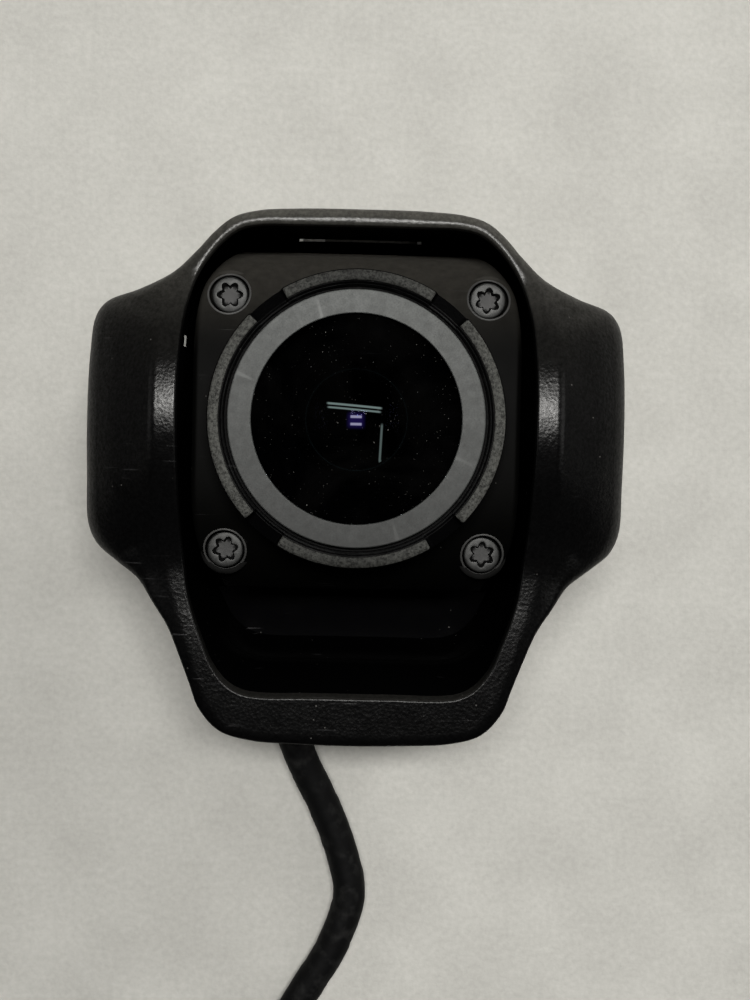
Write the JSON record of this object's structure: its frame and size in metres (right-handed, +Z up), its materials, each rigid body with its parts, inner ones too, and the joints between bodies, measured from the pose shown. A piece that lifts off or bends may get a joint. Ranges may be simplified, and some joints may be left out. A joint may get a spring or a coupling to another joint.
{
  "type": "backup camera",
  "caption": "Tilting rear-view camera for a truck or trailer: round lens in a square module that pivots between two ears of a hooded housing, with rear plate, pad and lead.",
  "frame": {"origin": "middle of the rear mounting face, straight behind the middle of the tilt axis", "axes": "+X along the tilt axis to the right seen from the front, -Y the way the lens looks, +Z up towards the hood"},
  "size_m": [0.0812, 0.0546, 0.1822],
  "materials": {
    "grained_black_plastic": "fine leather grain, satin",
    "matte_black_plastic": "fine spark texture, matte",
    "black_rubber": "moulded, dull",
    "cable_wrap": "spiral tape wrap, satin",
    "grey_trim": "bead-blasted and dark anodised, small scratches",
    "cover_glass": "polished, coated",
    "lens_glass": "polished, coated",
    "black_anodised": "black anodised",
    "dark_steel": "dark zinc",
    "brass": "turned",
    "circuit_board": "solder mask",
    "chip_black": "moulded",
    "connector_white": "moulded"
  },
  "bodies": {
    "housing": {"housing_shell": "grained_black_plastic", "rear_plate": "matte_black_plastic", "mount_insert_1": "brass", "mount_insert_2": "brass", "rear_screw_1": "dark_steel", "rear_screw_2": "dark_steel", "rear_screw_3": "dark_steel", "rear_screw_4": "dark_steel", "mounting_pad": "black_rubber", "friction_washer_left": "matte_black_plastic", "friction_washer_right": "matte_black_plastic", "cable": "cable_wrap", "cable_grommet": "black_rubber", "plug_overmould": "black_rubber", "plug_body": "matte_black_plastic", "plug_pin_1": "brass", "plug_pin_2": "brass", "plug_pin_3": "brass", "plug_pin_4": "brass"},
    "camera_module": {"module_front": "matte_black_plastic", "module_rear": "matte_black_plastic", "module_seal": "black_rubber", "face_screw_upper_left": "dark_steel", "face_screw_upper_right": "dark_steel", "face_screw_lower_left": "dark_steel", "face_screw_lower_right": "dark_steel", "trim_ring": "grey_trim", "front_glass": "cover_glass", "glass_gasket": "black_rubber", "light_baffle": "matte_black_plastic", "lens_barrel": "black_anodised", "lens_element_front": "lens_glass", "lens_element_middle": "lens_glass", "lens_element_rear": "lens_glass", "lens_holder": "matte_black_plastic", "ir_cut_filter": "lens_glass", "image_sensor": "chip_black", "sensor_board": "circuit_board", "main_board": "circuit_board", "board_spacer_1": "brass", "board_spacer_2": "brass", "board_spacer_3": "brass", "board_spacer_4": "brass", "board_screw_1": "dark_steel", "board_screw_2": "dark_steel", "board_screw_3": "dark_steel", "board_screw_4": "dark_steel", "video_processor": "chip_black", "board_link": "connector_white", "wire_header": "connector_white", "wire_plug": "connector_white", "pivot_insert_left": "brass", "pivot_insert_right": "brass", "pivot_screw_left": "dark_steel", "pivot_screw_right": "dark_steel", "cable_gland": "black_rubber"}
  },
  "joints": [
    {"name": "tilt", "type": "hinge", "parent": "housing", "child": "camera_module", "pos_m": [0, -0.0246, 0], "axis": [1, 0, 0], "range_deg": [-8, 45]}
  ]
}
